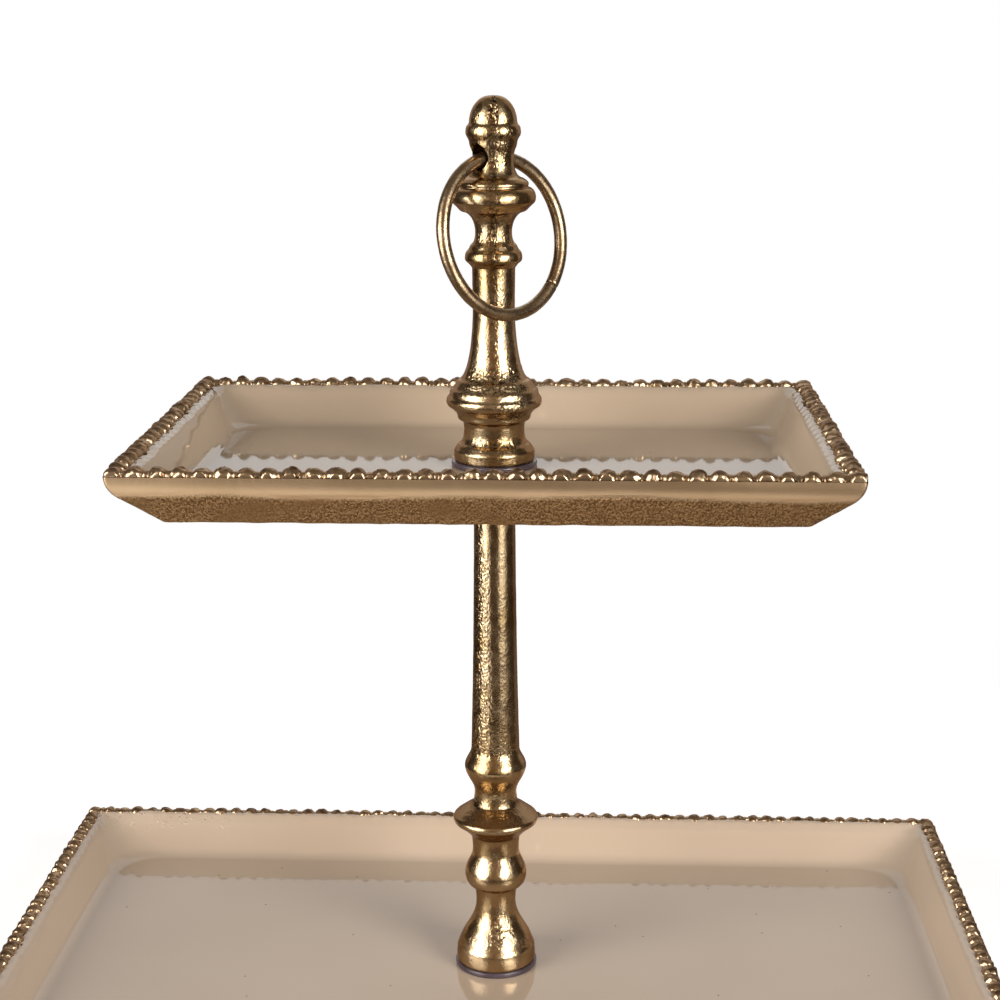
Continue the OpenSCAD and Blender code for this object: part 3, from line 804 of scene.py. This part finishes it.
def stem_metal():
    """Polished antique brass with brown in the hollows"""
    s = Shader("stem_antique_brass")
    s.set(Metallic=1.0, Specular_Tint=EDGE_TINT)
    patina = s.attribute("patina")
    crumpled = s.attribute("crumpled")
    mottle = s.noise(260.0, 4.0, 0.65)
    cloud = s.noise(55.0, 3.0)
    tone = s.mix(s.spread(cloud, 0.35, 0.7), GOLD, GOLD_DEEP)
    dark = s.math("ADD", patina, s.math("MULTIPLY", s.spread(mottle, 0.52, 0.75), 0.25), clamp=True)
    s.link(s.mix(s.spread(dark, 0.15, 0.95), tone, BROWN), s.bsdf.inputs["Base Color"])
    rough = s.spread(mottle, 0.3, 0.8, 0.17, 0.29)
    s.link(s.math("ADD", rough, s.math("MULTIPLY", crumpled, 0.05)), s.bsdf.inputs["Roughness"])
    grain = s.bump(s.noise(1500.0, 3.0, 0.6), 0.00008, 0.5)
    s.link(grain, s.bsdf.inputs["Normal"])
    return s.material


def ring_metal():
    """The worn wire of the ring"""
    s = Shader("ring_worn_bronze")
    s.set(Metallic=1.0)
    patina = s.attribute("patina")
    mottle = s.noise(420.0, 4.0, 0.7)
    mottled = s.math("MULTIPLY", s.spread(mottle, 0.4, 0.75), 0.5)
    dark = s.math("ADD", s.math("MULTIPLY", patina, 0.5), mottled)
    s.link(s.mix(dark, (0.46, 0.33, 0.20), (0.095, 0.06, 0.034)), s.bsdf.inputs["Base Color"])
    s.link(s.spread(mottle, 0.3, 0.8, 0.24, 0.42), s.bsdf.inputs["Roughness"])
    s.link(s.bump(s.noise(1300.0, 3.0, 0.6), 0.0001, 0.6), s.bsdf.inputs["Normal"])
    return s.material


def tray_metal():
    """Cast wall, satin filed band and polished beads, told apart by the tray's painted values"""
    s = Shader("tray_cast_brass")
    s.set(Metallic=1.0, Specular_Tint=EDGE_TINT)
    cast, filed, patina = (s.attribute(n) for n in ("cast", "filed", "patina"))
    grain = s.noise(1250.0, 3.0, 0.6, stretch=(1.0, 0.6, 0.6))
    # Beads and rim darken with the patina value: real patina between the beads, with painted shade on the
    # bead tops
    polished = s.mix(s.spread(patina, 0.1, 0.9), (0.50, 0.36, 0.225), (0.095, 0.058, 0.034))
    satin = s.mix(s.spread(s.noise(30.0), 0.35, 0.7), (0.65, 0.46, 0.28), (0.56, 0.39, 0.225))
    # Painted shade: the satin band is made darker under the beads by the patina value
    satin = s.mix(patina, satin, (0.26, 0.175, 0.10))
    zone = s.spread(s.noise(30.0, 2.0), 0.34, 0.5, 0.3, 1.0)
    pitted = s.mix(s.spread(grain, 0.4, 0.6), (0.20, 0.11, 0.045), (0.495, 0.318, 0.155))
    rough_wall = s.mix(zone, (0.33, 0.202, 0.092), pitted)
    colour = s.mix(cast, s.mix(filed, polished, satin), rough_wall)
    s.link(colour, s.bsdf.inputs["Base Color"])
    rough = s.math("ADD", s.math("MULTIPLY", filed, 0.12), s.math("MULTIPLY", cast, 0.17))
    s.link(s.math("ADD", rough, 0.3), s.bsdf.inputs["Roughness"])
    strokes = s.noise(700.0, 2.0, 0.5, stretch=(1.0, 1.0, 0.25))
    file_marks = s.math("MULTIPLY", strokes, filed)
    pits = s.math("MULTIPLY", s.math("MULTIPLY", grain, cast), s.math("ADD", zone, 0.35))
    height = s.math("ADD", pits, s.math("MULTIPLY", file_marks, 0.06))
    s.link(s.bump(height, 0.0009, 1.0), s.bsdf.inputs["Normal"])
    return s.material


def enamel(name, light, dark):
    """A glossy poured layer, a little cloudy, with a few dark pinholes in its floor"""
    s = Shader(name)
    s.set(Roughness=0.045, IOR=1.5)
    tone = s.mix(s.spread(s.noise(9.0, 2.0), 0.3, 0.7), light, dark)
    cells = s.node("ShaderNodeTexVoronoi", feature="F1", voronoi_dimensions="2D")
    cells.inputs["Scale"].default_value = 34.0
    s.link(s.place, cells.inputs["Vector"])
    parts = s.node("ShaderNodeSeparateColor")
    s.link(cells.outputs["Color"], parts.inputs["Color"])
    facing = s.node("ShaderNodeSeparateXYZ")
    s.link(s.node("ShaderNodeNewGeometry").outputs["Normal"], facing.inputs["Vector"])
    on_floor = s.math("GREATER_THAN", facing.outputs["Z"], 0.97)
    chosen = s.math("MULTIPLY", s.math("GREATER_THAN", parts.outputs["Red"], 0.6), on_floor)
    speck = s.math("MULTIPLY", s.spread(cells.outputs["Distance"], 0.007, 0.015, 1.0, 0.0), chosen)
    s.link(s.mix(speck, tone, (0.07, 0.045, 0.03)), s.bsdf.inputs["Base Color"])
    soft = s.bump(s.noise(60.0, 1.5, 0.4), 0.00010, 0.4)
    run_over = s.math("MULTIPLY", s.attribute("spilt"), s.spread(s.noise(640.0, 1.0, 0.5), 0.58, 0.80))
    s.link(s.bump(run_over, 0.0003, 1.0, soft), s.bsdf.inputs["Normal"])
    return s.material


def washer_plastic():
    s = Shader("washer_smoky_plastic")
    s.set(Roughness=0.22, IOR=1.45, Transmission_Weight=0.35)
    s.link(s.mix(s.spread(s.noise(90.0), 0.35, 0.7), (0.10, 0.072, 0.088), (0.15, 0.112, 0.135)),
           s.bsdf.inputs["Base Color"])
    return s.material


def zinc_steel():
    s = Shader("zinc_steel")
    s.set(Metallic=1.0)
    mottle = s.noise(500.0, 4.0, 0.6)
    s.link(s.mix(mottle, (0.60, 0.60, 0.62), (0.44, 0.45, 0.47)), s.bsdf.inputs["Base Color"])
    s.link(s.spread(mottle, 0.3, 0.7, 0.25, 0.4), s.bsdf.inputs["Roughness"])
    return s.material


def black_rubber():
    s = Shader("black_rubber")
    s.set(Roughness=0.75)
    s.link(s.mix(s.noise(300.0, 4.0, 0.6), (0.018, 0.018, 0.018), (0.045, 0.044, 0.043)),
           s.bsdf.inputs["Base Color"])
    s.link(s.bump(s.noise(1800.0), 0.0001, 0.4), s.bsdf.inputs["Normal"])
    return s.material


# Studio

def camera():
    data = bpy.data.cameras.new("photo_camera")
    data.sensor_width = 36.0
    data.lens = 36.0 * CAM_FOCAL
    data.clip_start, data.clip_end = 0.02, 50.0
    cam = bpy.data.objects.new("photo_camera", data)
    bpy.context.scene.collection.objects.link(cam)
    turn = (Matrix.Rotation(CAM_YAW, 4, "Z") @ Matrix.Rotation(math.pi / 2 - CAM_PITCH, 4, "X")
            @ Matrix.Rotation(CAM_ROLL, 4, "Z"))
    cam.matrix_world = Matrix.Translation(Vector(CAM_POS) * MM) @ turn
    bpy.context.scene.camera = cam


def around_stem(azimuth, elevation, distance):
    """A point at an azimuth from the front, to the right, and an elevation, both in degrees"""
    a, e = math.radians(azimuth), math.radians(elevation)
    return Vector((math.sin(a) * math.cos(e), -math.cos(a) * math.cos(e), math.sin(e))) * distance


# What the lamps and the standing cards face
STAGE_MIDDLE = Vector((0, 0, 0.18))


def softbox(name, azimuth, elevation, distance, width, height, power, colour):
    """A lamp that faces the stand, its width and height in metres and its power in watts"""
    data = bpy.data.lights.new(name, "AREA")
    data.shape = "RECTANGLE"
    data.size, data.size_y = width, height
    data.energy = power
    data.color = colour
    lamp = bpy.data.objects.new(name, data)
    bpy.context.scene.collection.objects.link(lamp)
    lamp.location = STAGE_MIDDLE + around_stem(azimuth, elevation, distance)
    lamp.rotation_euler = (STAGE_MIDDLE - lamp.location).to_track_quat("-Z", "Z").to_euler()
    lamp.visible_camera = False


def card(name, points, across, colour):
    """A studio card of points in rows, seen only in reflections. Its brightness is its colour."""
    rows = len(points) // across
    faces = [[r * across + c, r * across + c + 1, (r + 1) * across + c + 1, (r + 1) * across + c]
             for r in range(rows - 1) for c in range(across - 1)]
    piece = mesh_piece(name, points, faces)
    material = bpy.data.materials.new(name)
    material.use_nodes = True
    nodes = material.node_tree.nodes
    nodes.clear()
    glow = nodes.new("ShaderNodeEmission")
    glow.inputs["Color"].default_value = (*colour, 1.0)
    out = nodes.new("ShaderNodeOutputMaterial")
    material.node_tree.links.new(glow.outputs[0], out.inputs["Surface"])
    piece.data.materials.append(material)
    piece.visible_camera = piece.visible_diffuse = piece.visible_shadow = False


# Distance of the standing cards from the stem, in metres
CARD_R = 2.4
# Height of the lying cards over the floor, in mm
CARD_LIFT = 0.6


def standing_card(name, azimuths, elevations, colour):
    """A card on a part of a sphere around the stand"""
    a = np.linspace(*azimuths, 17)
    e = np.linspace(*elevations, 9)
    card(name, [list((STAGE_MIDDLE + around_stem(x, y, CARD_R)) / MM) for y in e for x in a], 17, colour)


def lying_card(name, azimuths, colour, near=0.23, far=CARD_R):
    """A card on the table, from close to the trays out to the standing cards"""
    points = []
    for r in np.linspace(near, far, 4):
        for a in np.linspace(*azimuths, 17):
            x, y, _ = around_stem(a, 0, r)
            points.append([x / MM, y / MM, CARD_LIFT])
    card(name, points, 17, colour)


def seen_directly(nodes, links):
    """1 for rays that should meet the white background, 0 for the light that falls on the object"""
    path = nodes.new("ShaderNodeLightPath")
    last = path.outputs["Is Camera Ray"]
    for key in ("Is Glossy Ray", "Is Transmission Ray"):
        add = nodes.new("ShaderNodeMath")
        add.operation = "MAXIMUM"
        links.new(last, add.inputs[0])
        links.new(path.outputs[key], add.inputs[1])
        last = add.outputs[0]
    return last


# Strength of the even light from all around that falls on the object
AMBIENT = 0.19


def studio():
    """White world, softboxes, the cards that the metal reflects, and the floor"""
    world = bpy.data.worlds.new("white_studio")
    bpy.context.scene.world = world
    world.use_nodes = True
    nodes, links = world.node_tree.nodes, world.node_tree.links
    background = nodes["Background"]
    background.inputs["Color"].default_value = (1, 1, 1, 1)
    level = nodes.new("ShaderNodeMapRange")
    level.inputs["To Min"].default_value = AMBIENT
    level.inputs["To Max"].default_value = 1.0
    links.new(seen_directly(nodes, links), level.inputs["Value"])
    links.new(level.outputs["Result"], background.inputs["Strength"])
    warm = (1.0, 0.98, 0.95)
    softbox("softbox_left", -55, 14, 2.1, 1.67, 1.48, 50, warm)
    softbox("softbox_left_low", -55, -16, 2.05, 1.67, 0.89, 10, warm)
    softbox("softbox_right", 43, 15, 1.25, 0.53, 0.77, 15, warm)
    softbox("softbox_right_low", 42, -13, 1.25, 0.5, 0.42, 1.4, warm)
    amber = (0.27, 0.165, 0.088)
    brown = (0.08, 0.052, 0.031)
    dark = (0.06, 0.042, 0.03)
    pink = (0.26, 0.20, 0.17)
    pale = (0.50, 0.42, 0.37)
    tan = (0.45, 0.37, 0.31)
    standing_card("card_front", (-29, 26), (-5, 50), amber)
    standing_card("card_left", (-130, -70), (-5, 50), dark)
    standing_card("card_right", (66, 120), (-5, 50), dark)
    standing_card("card_left_back", (-155, -130), (-5, 50), pale)
    standing_card("card_right_back", (120, 155), (-5, 50), pale)
    standing_card("card_back_low", (155, 205), (-5, 9), tan)
    standing_card("card_back_beside", (155, 172), (9, 14), tan)
    standing_card("card_top", (-180, 180), (50, 90), (0.20, 0.165, 0.13))
    lying_card("card_table_front", (-29, 26), brown)
    lying_card("card_table_front_near", (26, 66), brown, 0.23, 0.42)
    lying_card("card_table_front_far", (26, 66), (0.33, 0.26, 0.18), 0.42, 0.62)
    lying_card("card_table_left", (-130, -70), dark)
    lying_card("card_table_right", (66, 120), dark)
    lying_card("card_table_back", (120, 230), pink)
    floor()


# Radius of the floor in metres, and how much it glows to meet the white background
FLOOR_R = 0.46
FLOOR_GLOW = 0.56


def floor():
    """A pale disc that keeps the stand's shadow"""
    turn = np.linspace(0, 2 * math.pi, 96, endpoint=False)
    rings = [[(r * math.cos(t), r * math.sin(t), 0.0) for t in turn] for r in (100, 250, FLOOR_R / MM)]
    faces = ring_faces(3, 96)
    faces = [f[::-1] for f in faces] + [list(range(96))]
    piece = mesh_piece("floor", np.array(rings).reshape(-1, 3), faces)
    s = Shader("white_floor")
    s.set(Roughness=0.9)
    s.bsdf.inputs["Base Color"].default_value = (0.85, 0.85, 0.85, 1)
    s.bsdf.inputs["Emission Color"].default_value = (1, 1, 1, 1)
    seen = seen_directly(s.tree.nodes, s.tree.links)
    s.link(s.math("MULTIPLY", seen, FLOOR_GLOW), s.bsdf.inputs["Emission Strength"])
    piece.data.materials.append(s.material)


def keep_nodes(material, slot, *names):
    """CAD nodes whose shape is right get only a finish"""
    for name in names:
        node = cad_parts[name]
        node.data.materials.clear()
        node.data.materials.append(material)


camera()
studio()
brass = stem_metal()
stem_casting("finial_casting", "finial", "finial", FINIAL_STOPS, brass, (TAPPED_DEPTH, 0))
stem_casting("upper_column_casting", "upper_column", "upper", UPPER_STOPS, brass)
stem_casting("lower_column_casting", "lower_column", "lower", LOWER_STOPS, brass)
ring_wire(ring_metal())
tray_brass = tray_metal()
tray_casting("upper_tray_casting", "upper_tray", tray_brass, *UPPER_TRAY, web_share=0.64, spacing=0.8,
             seed=101)
tray_casting("lower_tray_casting", "lower_tray", tray_brass, *LOWER_TRAY, web_share=0.76, spacing=0.9,
             seed=201)
upper_beige = enamel("upper_beige_enamel", (0.505, 0.388, 0.28), (0.47, 0.357, 0.252))
lower_beige = enamel("lower_beige_enamel", (0.55, 0.43, 0.325), (0.515, 0.398, 0.297))
tray_enamel("upper_enamel_layer", "upper_enamel", "upper_tray", upper_beige, *UPPER_TRAY, lip=0.5,
            spill=0.0, spacing=0.9, seed=301)
tray_enamel("lower_enamel_layer", "lower_enamel", "lower_tray", lower_beige, *LOWER_TRAY, lip=1.35,
            spill=1.0, spacing=1.0, seed=401)
smoky = washer_plastic()
soft_washer("upper_washer_disc", "upper_seat_washer", smoky)
soft_washer("lower_washer_disc", "lower_seat_washer", smoky)
keep_nodes(zinc_steel(), "steel", "finial_stud", "joining_stud", "under_tray_washer", "base_washer",
           "lock_washer", "base_bolt")
keep_nodes(black_rubber(), "foot_rubber", "foot_front_left", "foot_front_right", "foot_back_left",
           "foot_back_right")

bpy.context.scene.view_settings.view_transform = "Standard"
